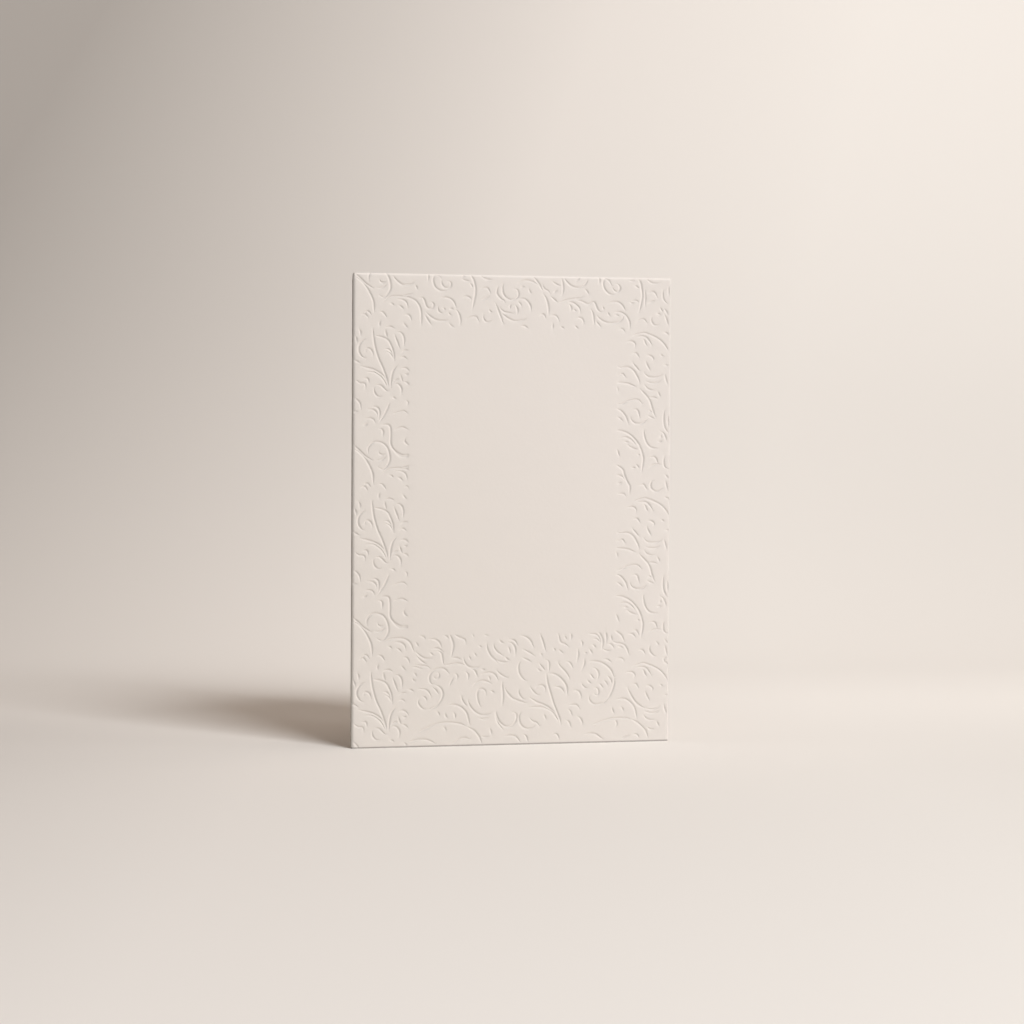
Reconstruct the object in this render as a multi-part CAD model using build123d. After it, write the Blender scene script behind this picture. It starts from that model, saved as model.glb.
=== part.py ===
from build123d import *
import math
import os

# A wedding invitation card: one sheet folded once and stood up half open.
# The front leaf carries scrollwork sunk into a border round a plain panel.
# Millimetres and degrees. +Z is up and the front leaf faces -Y, its fold at -X.

# The folded sheet
LEAF_WIDE = 127.0
LEAF_HIGH = 178.0
SHEET_THICK = 0.5
FOLD_INSIDE_RADIUS = 0.6
OPENING_ANGLE = 40.0

# Borders round the plain panel
BORDER_FOLD_SIDE = 22.4
BORDER_FREE_SIDE = 22.2
BORDER_TOP = 20.5
BORDER_BOTTOM = 42.6

# The sunk strokes, pointed at both ends and deepest half way along
STROKE_WIDE = 1.2
STROKE_DEEP = 0.22
STROKE_FULLNESS = 0.7

# Each cutter starts this far off the face, so it always crosses it cleanly
CUTTER_CLEARANCE = 0.08

# The scrollwork is drawn in tenths of a millimetre, to the right and down from
# the top of the fold, on a leaf of this size, and follows the leaf when that changes.
DRAWN_WIDE = 1270
DRAWN_HIGH = 1780

# Steps between repeats of the scrollwork
FOLD_SIDE_STEP = 644
FREE_SIDE_STEP = 634
ACROSS_STEP = 688
TOP_STEP = 676

# Stem, arch and the line that winds into a bowl, at the start of each repeat
STEM = (
    ((6, 12), (36, 30), (62, 62), (82, 104), (86, 148)),
    ((120, 104), (160, 85), (218, 88), (262, 118), (271, 196)),
    ((112, 568), (146, 570), (153, 606), (160, 654), (200, 680), (242, 672)),
)

# Leaf with its midrib, the scroll beside it and the branches that meet at its foot
LEAF = (
    ((81, 204), (86, 256), (104, 318), (124, 358), (144, 426)),
    ((86, 232), (118, 238), (148, 262), (162, 294), (166, 330)),
    ((60, 244), (34, 262), (29, 294), (56, 319)),
    ((32, 347), (84, 360), (122, 384), (140, 414)),
    ((58, 370), (86, 370), (116, 390), (138, 424)),
    ((149, 482), (136, 514), (106, 560)),
)

# Scrolls along the top border
TOP = (
    ((378, 57), (344, 62), (317, 32), (330, 5), (351, 18)),
    ((342, 96), (371, 88), (396, 101), (410, 130)),
    ((402, 132), (421, 152), (425, 194)),
    ((288, 143), (318, 167), (350, 176), (378, 173)),
    ((460, -6), (478, 24), (485, 60), (480, 98), (471, 134)),
    ((596, 30), (592, 54), (606, 84), (634, 92), (656, 76)),
    ((650, 33), (676, 20), (706, 21), (740, 40)),
    ((562, 102), (578, 138), (598, 188)),
    ((578, 118), (602, 139), (642, 144)),
    ((588, 142), (616, 163), (654, 171), (694, 161)),
    ((652, 92), (676, 88), (700, 106), (706, 139)),
)

# Broad arcs and bowl at the head of each repeat on the free side
FREE_SIDE_HEAD = (
    ((1110, 226), (1158, 211), (1204, 225), (1239, 248), (1264, 282)),
    ((1128, 226), (1160, 225), (1184, 242), (1194, 262)),
    ((1161, 362), (1186, 380), (1218, 380), (1244, 366)),
)

# Long branch that sweeps down the free side
FREE_SIDE_BRANCH = (
    ((1046, 402), (1097, 406), (1140, 421), (1176, 454), (1197, 494), (1211, 535)),
)

# Arches and bowls under them
FREE_SIDE_FOOT = (
    ((1052, 340), (1090, 342), (1122, 359), (1142, 393), (1144, 412)),
    ((1052, 485), (1084, 479), (1122, 467), (1156, 486)),
    ((1046, 502), (1076, 515), (1101, 566)),
    ((1107, 530), (1116, 550), (1141, 559), (1172, 552)),
    ((1044, 585), (1092, 593), (1128, 620), (1155, 664), (1162, 702), (1155, 747)),
    ((1163, 580), (1166, 610), (1182, 642), (1226, 654)),
    ((1042, 717), (1074, 731), (1087, 762), (1107, 802), (1106, 832)),
)

# Scrolls, rings and arches of the deep bottom border
BOTTOM = (
    ((252, 1432), (280, 1448), (315, 1454), (348, 1452)),
    ((383, 1354), (397, 1382), (403, 1416), (396, 1448)),
    ((384, 1510), (350, 1490), (312, 1516), (318, 1550), (346, 1558)),
    ((346, 1558), (362, 1584), (354, 1619), (322, 1645), (285, 1642)),
    ((438, 1452), (460, 1484), (508, 1480)),
    ((540, 1400), (543, 1424), (560, 1448), (596, 1460)),
    ((562, 1392), (572, 1416), (596, 1434), (628, 1460)),
    ((508, 1512), (545, 1506), (586, 1542)),
    ((556, 1556), (512, 1544), (470, 1572), (460, 1614), (484, 1652), (524, 1668), (570, 1652)),
    ((515, 1640), (498, 1594), (520, 1570), (536, 1590)),
    ((602, 1540), (604, 1589), (602, 1638)),
    ((606, 1564), (624, 1596), (658, 1614), (700, 1624)),
    ((676, 1464), (664, 1496), (678, 1528), (702, 1544)),
    ((672, 1368), (702, 1380), (729, 1424)),
    ((574, 1652), (579, 1686), (604, 1712), (640, 1708), (655, 1680)),
    ((669, 1664), (678, 1708), (720, 1718), (748, 1704)),
    ((256, 1730), (306, 1706), (366, 1695), (420, 1695), (458, 1708), (518, 1772)),
    ((380, 1632), (412, 1626), (444, 1646), (469, 1706)),
    ((930, 1474), (984, 1472), (1026, 1492), (1050, 1532), (1050, 1576), (1030, 1620)),
    ((950, 1600), (964, 1632), (1024, 1630)),
    ((900, 1354), (940, 1340), (982, 1358), (1003, 1399), (1001, 1436)),
    ((824, 1472), (838, 1496), (858, 1516), (870, 1544)),
    ((960, 1712), (1010, 1695), (1080, 1689), (1132, 1698), (1168, 1726), (1196, 1772)),
)

# Where each group of strokes stands, again and again along the borders
REPEATS = (
    (STEM, ((0, 0), (0, FOLD_SIDE_STEP), (0, 2 * FOLD_SIDE_STEP), (ACROSS_STEP, 0))),
    (LEAF, ((0, 0), (0, FOLD_SIDE_STEP), (0, 2 * FOLD_SIDE_STEP), (ACROSS_STEP, 2 * FOLD_SIDE_STEP))),
    (TOP, ((0, 0), (TOP_STEP, 4))),
    (FREE_SIDE_HEAD, ((0, 0), (0, FREE_SIDE_STEP), (0, 2 * FREE_SIDE_STEP))),
    (FREE_SIDE_BRANCH, ((0, 0), (0, FREE_SIDE_STEP))),
    (FREE_SIDE_FOOT, ((0, 0), (0, FREE_SIDE_STEP), (0, 2 * FREE_SIDE_STEP))),
    (BOTTOM, ((0, 0),)),
)


def folded_sheet():
    """The sheet seen from above as a bent strip, raised to the leaf's height."""
    outside = FOLD_INSIDE_RADIUS + SHEET_THICK
    centre = Vector(outside, outside)
    along_back = Vector(1, 0).rotate(Axis.Z, OPENING_ANGLE)
    out_of_back = along_back.rotate(Axis.Z, 90)
    half_way = Vector(0, -1).rotate(Axis.Z, (OPENING_ANGLE - 180) / 2)
    reach = LEAF_WIDE - outside

    def side(radius):
        front = centre + Vector(0, -radius)
        back = centre + out_of_back * radius
        return (
            Line(front + Vector(reach, 0), front),
            ThreePointArc(front, centre + half_way * radius, back),
            Line(back, back + along_back * reach),
        )

    outer = side(outside)
    inner = side(FOLD_INSIDE_RADIUS)
    front_end = Line(outer[0] @ 0, inner[0] @ 0)
    back_end = Line(outer[2] @ 1, inner[2] @ 1)
    return extrude(make_face([*outer, back_end, *inner, front_end]), LEAF_HIGH)


def on_leaf(x, y):
    """A drawn point on the front leaf, right and up from the foot of the fold."""
    return Vector(x / DRAWN_WIDE * LEAF_WIDE, (1 - y / DRAWN_HIGH) * LEAF_HIGH)


def groove(points):
    """A cutter for one stroke, its three long edges meeting in a point at each end."""
    path = Spline(*points)
    drop = STROKE_DEEP + CUTTER_CLEARANCE
    half_wide = STROKE_WIDE / 2 * drop / STROKE_DEEP
    left, right, keel = [], [], []
    for step in range(len(points)):
        share = step / (len(points) - 1)
        fullness = max(0, math.sin(math.pi * share)) ** STROKE_FULLNESS
        aside = (path % share).rotate(Axis.Z, 90) * (half_wide * fullness)
        start = path @ share + Vector(0, 0, CUTTER_CLEARANCE)
        left.append(start + aside)
        right.append(start - aside)
        keel.append(start - Vector(0, 0, drop * fullness))
    left_edge, right_edge, keel_edge = Spline(*left), Spline(*right), Spline(*keel)
    return Solid(Shell([
        Face(Wire([left_edge, right_edge])),
        Face.make_surface_from_curves(left_edge, keel_edge),
        Face.make_surface_from_curves(keel_edge, right_edge),
    ]))


def scrollwork():
    """Every stroke's cutter, none of them on the plain panel."""
    panel_wide = LEAF_WIDE - BORDER_FOLD_SIDE - BORDER_FREE_SIDE
    panel_high = LEAF_HIGH - BORDER_TOP - BORDER_BOTTOM
    panel = Pos(BORDER_FOLD_SIDE, BORDER_BOTTOM, -LEAF_WIDE / 2) * Box(
        panel_wide, panel_high, LEAF_WIDE, align=Align.MIN
    )
    panel_box = panel.bounding_box()
    cutters = []
    for group, places in REPEATS:
        for across, down in places:
            for stroke in group:
                points = [on_leaf(x + across, y + down) for x, y in stroke]
                if not any(0 < p.X < LEAF_WIDE and 0 < p.Y < LEAF_HIGH for p in points):
                    continue
                cutter = groove(points)
                if cutter.bounding_box().overlaps(panel_box):
                    cutters += (cutter - panel).solids()
                else:
                    cutters.append(cutter)
    return cutters


front_face = Plane(origin=(0, 0, 0), x_dir=(1, 0, 0), z_dir=(0, -1, 0))
card = folded_sheet() - [front_face * cutter for cutter in scrollwork()]
middle = card.bounding_box().center()
card = Pos(-middle.X, -middle.Y, 0) * card

os.makedirs("parts", exist_ok=True)
export_step(card, "parts/card.step")
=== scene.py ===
import math

import bpy
import numpy as np
from mathutils import Matrix, Vector, kdtree
from mathutils.geometry import delaunay_2d_cdt


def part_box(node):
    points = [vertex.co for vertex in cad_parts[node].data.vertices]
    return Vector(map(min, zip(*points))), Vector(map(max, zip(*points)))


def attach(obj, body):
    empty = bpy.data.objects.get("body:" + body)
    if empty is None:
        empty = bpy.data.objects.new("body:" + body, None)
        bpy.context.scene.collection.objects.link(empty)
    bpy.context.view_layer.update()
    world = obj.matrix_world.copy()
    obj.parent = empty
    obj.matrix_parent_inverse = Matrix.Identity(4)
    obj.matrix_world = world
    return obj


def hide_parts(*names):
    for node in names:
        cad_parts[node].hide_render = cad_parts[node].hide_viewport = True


# A wedding invitation card of soft cotton paper, folded once and stood half open.
# Scrollwork is pressed into the border of its front leaf, round a plain panel.
# The sheet is worked out in millimetres, flat, and is then folded into the frame.

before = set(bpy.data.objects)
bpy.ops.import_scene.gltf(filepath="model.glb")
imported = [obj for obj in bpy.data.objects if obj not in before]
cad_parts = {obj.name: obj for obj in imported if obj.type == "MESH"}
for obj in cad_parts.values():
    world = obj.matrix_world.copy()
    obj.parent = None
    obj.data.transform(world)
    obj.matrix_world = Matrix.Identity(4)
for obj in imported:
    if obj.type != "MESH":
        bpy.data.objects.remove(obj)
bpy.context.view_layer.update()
MM = 0.001

# How far the card is turned to the camera's right
CARD_TURN = math.radians(18.87)

# The folded sheet
LOW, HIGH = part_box("card")
LEAF_WIDE = (HIGH.x - LOW.x) / MM
LEAF_HIGH = (HIGH.z - LOW.z) / MM
SHEET_THICK = 0.5
FOLD_RADIUS = 1.1
OPENING_ANGLE = 40
FOLD_TURN = math.radians(180 - OPENING_ANGLE)
FOLD_LONG = FOLD_RADIUS * FOLD_TURN
REAR_EDGE = FOLD_RADIUS - FOLD_LONG - (LEAF_WIDE - FOLD_RADIUS)

# Borders round the plain panel
BORDER_FOLD_SIDE = 22.4
BORDER_FREE_SIDE = 22.2
BORDER_TOP = 20.5
BORDER_BOTTOM = 42.6

# Pressed strokes, widest and deepest away from their pointed ends
STROKE_WIDE = 1.25
STROKE_DEEP = 0.285
STROKE_POINT = 3.2

# The paper sinks a little beside each stroke, and the relief fades out by the panel
SHOULDER_DEEP = 0.05
SHOULDER_WIDE = 1.6
PANEL_FADE = 1.2

# Its cut edges roll over, within so far of the edge and by so much at it
EDGE_ROLL, EDGE_DROP = 0.5, 0.12
HEAD_ROLL, HEAD_DROP = 0.9, 0.3
FOOT_ROLL, FOOT_DROP = 0.6, 0.22
BACK_EDGE_DROP = 0.04

# Below its cut top edge the leaf leans back a little
LEAN_HIGH, LEAN_DROP = 3.2, 0.11

# Spacing of the sheet's points. Rows across a stroke are shares of its half width,
# which is nowhere taken as less than the narrowest share of the full one.
CURVE_STEPS = 12
ALONG_STROKE = 0.42
FEWEST_STATIONS = 5
FEWEST_SHOWN = 4
ACROSS_STROKE = (0, -0.34, 0.34, -0.67, 0.67, -1, 1, -1.45, 1.45)
NARROWEST = 0.25
NEAREST = 0.13
EDGE_CLEAR = 0.1
EDGE_ROWS = (0.12, 0.26, EDGE_ROLL, HEAD_ROLL)
PANEL_ROWS = (0, -0.35)
BORDER_GRID = 0.95
PANEL_GRID = 3.0
REAR_GRID = 6.0
EDGE_GRID = 0.6
GRID_CLEAR = 0.5
FOLD_STEPS = 12
SAME_SPOT = 1e-6
SMOOTH_ANGLE = math.radians(40)

# Steps between repeats of the scrollwork
FOLD_SIDE_STEP = 644
FREE_SIDE_STEP = 634

# Scrollwork, drawn in tenths of a millimetre to the right and down from the top
# of the fold. Each stroke is a line that flows through its points.
FOLD_SIDE_STEM = (
    # curves from the fold into the stem
    ((4, -5), (30, 18), (56, 41), (86, 58)),
    ((6, 12), (32, 27), (54, 50), (72, 80), (83, 108), (86, 148)),
    # ring over the stem, its curl and the bowl beside it
    ((65, 34), (66, 8), (88, -13), (122, -8), (142, 14), (150, 50), (140, 75), (122, 89), (102, 80)),
    ((106, 20), (110, 31), (122, 35), (134, 29)),
    ((94, 55), (118, 53), (138, 38)),
    ((156, 4), (172, 24), (196, 41), (226, 39), (246, 28)),
    # inner arches
    ((172, 96), (190, 96), (204, 101), (214, 111), (218, 130)),
    ((180, 118), (192, 124), (202, 134)),
    ((146, 112), (156, 113), (165, 120)),
    # hooks either side of the stem
    ((46, 152), (58, 142), (68, 147), (76, 158)),
    ((34, 160), (48, 153), (58, 160), (64, 170)),
    ((106, 144), (118, 145), (128, 154), (136, 166)),
    ((112, 176), (107, 188), (109, 200)),
    # curls by the panel
    ((204, 155), (217, 153), (227, 161), (232, 177)),
    ((200, 183), (208, 193), (218, 203)),
)
FOLD_SIDE_ARCH = (
    ((120, 104), (140, 92), (162, 85), (190, 85), (220, 89), (244, 98), (262, 118), (270, 145),
     (271, 196)),
    ((190, 84), (218, 79), (240, 72)),
)
FOLD_SIDE_LEAF = (
    # leaf
    ((81, 204), (84, 240), (91, 278), (104, 318), (121, 354), (136, 394), (144, 426)),
    ((86, 232), (122, 240), (142, 251), (153, 270), (162, 294), (166, 330)),
    ((128, 284), (141, 283), (152, 292), (160, 304)),
    ((134, 293), (148, 298), (158, 310), (163, 324)),
    ((172, 224), (184, 219), (195, 225), (202, 238), (204, 254), (202, 272)),
    ((166, 226), (173, 246), (188, 284)),
    ((180, 342), (165, 358), (156, 384), (151, 430)),
    ((128, 203), (150, 199), (169, 206)),
    ((131, 208), (132, 222), (138, 240)),
    # scroll beside the leaf
    ((60, 244), (42, 252), (29, 270), (27, 292), (38, 311), (56, 319)),
    ((54, 297), (54, 286), (63, 281), (74, 286), (81, 298), (83, 310)),
    ((28, 208), (33, 220), (34, 236)),
    ((12, 232), (17, 246), (20, 262)),
    # branches into the leaf's foot
    ((2, 322), (16, 328), (34, 337)),
    ((32, 347), (58, 353), (84, 360), (108, 372), (127, 388), (140, 414)),
    ((58, 370), (84, 370), (107, 382), (124, 399), (138, 424)),
    ((44, 394), (62, 394), (67, 412)),
    ((12, 396), (30, 410), (51, 414), (54, 434)),
    ((90, 420), (112, 419), (134, 438), (148, 441)),
    ((87, 424), (89, 446), (101, 460), (122, 462)),
    # curls by the panel
    ((162, 416), (176, 412), (189, 421), (195, 436), (193, 456)),
    ((158, 410), (172, 399), (192, 394)),
    ((188, 317), (203, 312), (218, 322)),
    ((192, 296), (206, 288), (224, 286)),
    ((188, 359), (206, 353), (222, 361), (230, 374)),
    ((190, 376), (194, 392), (201, 406)),
    ((206, 374), (214, 378), (224, 374)),
    ((202, 405), (216, 409), (230, 421)),
    ((158, 526), (182, 519), (206, 515), (222, 527)),
    ((211, 474), (221, 482), (216, 493)),
    ((156, 464), (165, 465), (174, 470)),
    # arches under the leaf and the lower stem
    ((4, 463), (22, 475), (33, 490), (36, 512)),
    ((2, 514), (14, 518), (26, 517)),
    ((74, 502), (92, 499), (104, 506), (109, 520), (107, 548)),
    ((62, 509), (82, 510), (96, 520), (102, 536)),
    ((52, 545), (72, 542), (86, 548), (93, 562)),
    ((46, 570), (56, 566), (64, 560)),
    ((149, 482), (141, 502), (128, 528), (106, 560)),
    ((104, 581), (117, 583), (123, 592), (121, 614)),
    ((164, 588), (182, 579), (201, 576), (228, 587)),
    ((212, 614), (208, 628), (216, 638), (228, 644)),
)
FOLD_SIDE_BOWL = (
    ((112, 568), (136, 566), (150, 574), (153, 606), (153, 638), (162, 656), (178, 670),
     (205, 681), (242, 672)),
)
TOP_LEFT = (
    # drop, scroll and arches at the left
    ((298, -4), (298, 12), (297, 28)),
    ((246, 41), (251, 50), (256, 60)),
    ((260, 96), (271, 89), (281, 96), (292, 123), (303, 130), (316, 127), (320, 115), (312, 106),
     (304, 112)),
    ((378, 57), (350, 63), (326, 50), (317, 26), (321, 9), (338, 6), (351, 18)),
    ((351, 18), (351, 36), (360, 49), (374, 51), (387, 43), (385, 29), (370, 26)),
    ((342, 96), (356, 88), (371, 88), (388, 94), (400, 106), (410, 130)),
    ((402, 132), (412, 137), (420, 150), (426, 172), (425, 194)),
    ((337, 120), (337, 134), (343, 143), (357, 148)),
    ((357, 126), (362, 131), (367, 134)),
    ((380, 133), (390, 129), (400, 133)),
    ((378, 142), (381, 149), (390, 153)),
    ((288, 143), (302, 156), (318, 167), (336, 174), (355, 175), (378, 173)),
    ((284, 152), (292, 166), (302, 181), (313, 194)),
    ((379, 181), (390, 195), (408, 203)),
    # long stem in the middle left and the marks beside it
    ((460, -6), (470, 8), (478, 24), (485, 60), (478, 104), (471, 134)),
    ((430, 91), (441, 84), (453, 83), (464, 88), (471, 97)),
    ((422, 11), (434, 8), (448, 3)),
    ((428, 15), (444, 22), (464, 25)),
    ((462, 32), (470, 41), (474, 50)),
    ((500, 0), (512, 9), (526, 15), (541, 18), (558, 16)),
    ((502, 60), (514, 52), (527, 49), (536, 53), (541, 63), (544, 73)),
    ((504, 98), (525, 88), (545, 75)),
    ((446, 172), (460, 162), (476, 158), (489, 160), (500, 180)),
    ((517, 146), (516, 160), (521, 171), (532, 178), (555, 170)),
    ((539, 128), (543, 137), (553, 141)),
    # ring, arcs and bowl over the middle
    ((576, 40), (571, 56), (571, 72), (588, 91), (598, 95), (602, 107)),
    ((596, 30), (592, 48), (594, 66), (602, 80), (614, 89), (628, 93), (644, 88), (656, 76),
     (652, 55), (635, 50)),
    ((562, 102), (572, 124), (590, 168), (598, 188)),
    ((578, 118), (590, 132), (604, 140), (642, 144)),
    ((588, 142), (602, 154), (618, 164), (640, 172), (668, 170), (694, 161)),
    ((650, 33), (662, 26), (676, 20), (691, 18), (706, 21), (720, 26), (738, 37)),
    ((652, 92), (664, 88), (676, 88), (689, 94), (704, 114), (706, 139)),
    ((654, 98), (664, 108), (669, 118)),
    ((642, 110), (650, 122), (653, 136), (651, 150)),
    ((630, 110), (622, 117), (624, 127)),
    ((664, 50), (672, 43), (683, 44)),
    ((696, 48), (702, 60), (708, 68)),
    ((664, 192), (678, 190), (690, 197), (700, 208)),
)
TOP_RIGHT = (
    # stem that drops to the panel
    ((708, 2), (722, 14), (735, 30), (748, 52), (756, 60)),
    ((749, 30), (758, 50), (770, 56), (778, 63), (782, 72)),
    ((752, 66), (764, 84), (771, 102), (775, 122), (775, 152)),
    ((739, 154), (748, 148), (757, 148), (765, 164)),
    ((780, 155), (791, 150), (803, 151), (813, 161), (818, 175)),
    ((793, 178), (793, 192), (792, 208)),
    ((824, 191), (832, 196), (840, 202)),
    ((792, 68), (803, 59), (813, 53)),
    ((788, 20), (806, 32), (826, 38)),
    ((824, 6), (830, 18), (834, 48), (829, 77)),
    # bowl, long wave and arches at the middle right
    ((834, 2), (846, 19), (861, 34), (880, 42), (900, 43), (918, 34), (930, 20), (933, 8)),
    ((882, 21), (893, 13), (903, 3)),
    ((979, 2), (981, 14), (980, 28)),
    ((920, 47), (930, 57), (938, 69)),
    ((782, 78), (798, 90), (813, 102)),
    ((815, 104), (832, 96), (850, 91), (884, 85), (902, 83), (922, 76)),
    ((880, 88), (898, 92), (914, 97), (930, 104), (942, 103), (952, 98), (962, 100), (974, 126),
     (986, 134), (998, 132)),
    ((846, 103), (862, 99), (878, 103), (892, 113), (901, 124), (903, 142)),
    ((858, 106), (865, 116), (867, 126), (862, 132)),
    ((873, 128), (881, 129), (888, 134)),
    ((944, 122), (954, 138), (958, 158), (959, 184)),
    ((995, 114), (999, 126)),
    ((885, 160), (899, 157), (911, 162), (917, 172), (915, 183)),
    ((881, 187), (889, 195), (897, 202)),
    ((968, 146), (982, 160), (998, 170), (1014, 175), (1030, 176), (1048, 174), (1066, 167),
     (1078, 155), (1072, 145)),
    ((967, 168), (976, 180), (988, 192)),
    ((1013, 134), (1019, 143), (1026, 151)),
    # drop with its ring and the arches under it
    ((1046, 67), (1024, 66), (1010, 57), (1000, 44), (996, 24), (1001, 10), (1012, 10), (1024, 22),
     (1031, 38)),
    ((1031, 38), (1040, 51), (1050, 57), (1060, 53), (1065, 43), (1061, 33), (1052, 27), (1044, 28)),
    ((1012, 104), (1026, 98), (1044, 95), (1060, 98), (1073, 107), (1082, 120), (1087, 132)),
    ((1036, 143), (1046, 136), (1060, 134), (1074, 137), (1086, 144), (1095, 154), (1101, 165),
     (1105, 178), (1104, 200)),
    ((1042, 148), (1052, 145), (1062, 150)),
    ((1061, 198), (1071, 197), (1081, 203), (1086, 212)),
    # long stem and bowls at the right
    ((1133, 0), (1143, 12), (1150, 28), (1156, 64), (1154, 86), (1142, 136)),
    ((1166, 44), (1168, 66), (1168, 90), (1166, 112)),
    ((1100, 13), (1114, 14), (1128, 13)),
    ((1124, 32), (1133, 36), (1143, 42)),
    ((1108, 93), (1124, 89), (1136, 91), (1142, 99)),
    ((1102, 95), (1112, 98), (1122, 98)),
    ((1170, 0), (1183, 14), (1200, 22), (1217, 21), (1236, 15)),
    ((1176, 62), (1187, 56), (1199, 54), (1209, 61), (1219, 80)),
    ((1180, 98), (1194, 92), (1210, 86)),
    ((1241, 44), (1240, 64), (1242, 80), (1251, 93), (1264, 101)),
    ((1264, 30), (1264, 52), (1265, 72)),
    ((1131, 175), (1142, 166), (1155, 160), (1165, 161), (1178, 178)),
    ((1199, 148), (1194, 157), (1195, 169), (1203, 180), (1216, 182), (1229, 175)),
    ((1216, 139), (1224, 139), (1231, 143)),
    ((1228, 113), (1234, 122), (1240, 131)),
    ((1246, 117), (1254, 128), (1263, 144)),
    ((1245, 136), (1254, 154), (1260, 172), (1264, 187)),
)
FREE_SIDE_HEAD = (
    ((1241, 208), (1255, 211), (1266, 221)),
    ((1110, 226), (1126, 219), (1158, 211), (1175, 214), (1204, 225), (1229, 239), (1249, 259),
     (1264, 282)),
    ((1128, 226), (1144, 225), (1160, 225), (1174, 231), (1190, 251), (1194, 262)),
    ((1156, 233), (1164, 241), (1168, 252), (1176, 263)),
    ((1086, 248), (1099, 244), (1112, 244), (1122, 249), (1127, 258), (1122, 268)),
    ((1114, 294), (1122, 289), (1131, 290), (1138, 299), (1143, 309)),
    ((1170, 299), (1183, 297), (1195, 303), (1201, 311), (1194, 319)),
    ((1170, 316), (1175, 333), (1189, 358)),
    ((1229, 293), (1236, 297), (1243, 300)),
    ((1246, 336), (1255, 334), (1263, 337)),
)
FREE_SIDE_BRANCH = (
    ((1046, 402), (1072, 403), (1097, 406), (1117, 413), (1134, 419)),
    ((1143, 422), (1163, 442), (1174, 453), (1183, 464), (1190, 477), (1199, 506), (1211, 535)),
)
FREE_SIDE_MARKS = (
    # lower bowls under the head and the marks by the free edge
    ((1168, 396), (1184, 401), (1201, 403), (1218, 400), (1236, 390)),
    ((1164, 408), (1176, 423), (1194, 430), (1214, 427)),
    ((1248, 366), (1252, 386), (1260, 410)),
    ((1219, 434), (1225, 446), (1230, 457)),
)
FREE_SIDE_FOOT = (
    ((1161, 362), (1175, 376), (1190, 381), (1211, 381), (1229, 376), (1244, 366)),
    ((1181, 458), (1197, 458), (1213, 460), (1222, 464)),
    # arches and scroll either side of the branch
    ((1052, 340), (1068, 345), (1085, 343), (1100, 344), (1114, 351), (1126, 364), (1142, 393),
     (1144, 410)),
    ((1050, 373), (1064, 373), (1076, 369), (1089, 386)),
    ((1114, 322), (1124, 336), (1147, 360)),
    ((1046, 413), (1054, 424), (1058, 438)),
    ((1052, 485), (1068, 484), (1082, 480), (1096, 472), (1128, 467), (1141, 469), (1150, 476),
     (1156, 486)),
    ((1046, 502), (1060, 505), (1073, 513), (1083, 524), (1092, 538), (1101, 566)),
    ((1115, 508), (1125, 504), (1135, 506), (1141, 516), (1147, 541)),
    ((1107, 530), (1113, 546), (1125, 556), (1141, 559), (1157, 557), (1180, 541)),
    ((1182, 517), (1189, 511), (1198, 515)),
    ((1178, 528), (1192, 534), (1208, 540)),
    ((1054, 533), (1066, 540), (1080, 551)),
    ((1247, 505), (1245, 530), (1245, 552), (1250, 574), (1265, 596)),
    ((1263, 526), (1263, 550), (1264, 574)),
    # broad arch and what stands in it
    ((1044, 585), (1076, 588), (1104, 600), (1128, 620), (1148, 648), (1160, 682), (1162, 702),
     (1155, 747)),
    ((1064, 613), (1084, 611), (1097, 613), (1109, 619), (1121, 629), (1132, 643)),
    ((1082, 628), (1094, 629), (1104, 631)),
    ((1096, 638), (1108, 648), (1122, 654), (1142, 658)),
    ((1048, 653), (1056, 664), (1065, 686)),
    ((1139, 676), (1148, 681)),
    # bowl and marks by the free edge
    ((1163, 580), (1164, 597), (1167, 613), (1173, 629), (1182, 642), (1196, 651), (1226, 654)),
    ((1219, 627), (1229, 628), (1240, 624)),
    ((1232, 602), (1235, 608), (1230, 614)),
    ((1230, 588), (1244, 595), (1253, 612), (1259, 630)),
    ((1184, 690), (1198, 686), (1209, 688), (1216, 696), (1222, 716)),
    ((1182, 730), (1200, 719), (1220, 714), (1238, 716)),
    ((1249, 682), (1246, 703), (1250, 724), (1270, 735)),
    ((1251, 752), (1259, 762), (1267, 771)),
    ((1253, 774), (1258, 795), (1264, 820)),
    ((1251, 838), (1260, 845), (1268, 851)),
)
FREE_SIDE_WAVE = (
    ((1042, 717), (1058, 721), (1070, 728), (1080, 738), (1087, 762), (1101, 789), (1107, 802),
     (1106, 832)),
    ((1048, 757), (1064, 757), (1078, 764), (1088, 776)),
    ((1056, 788), (1066, 787), (1076, 784)),
    ((1056, 828), (1076, 827), (1086, 831), (1094, 841)),
    ((1114, 728), (1122, 727), (1131, 731)),
    ((1131, 714), (1139, 722), (1145, 731)),
    ((1141, 796), (1152, 794), (1165, 794), (1180, 815)),
    ((1212, 779), (1198, 780), (1193, 791), (1193, 803), (1203, 814), (1218, 819), (1234, 811),
     (1245, 802)),
)
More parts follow.
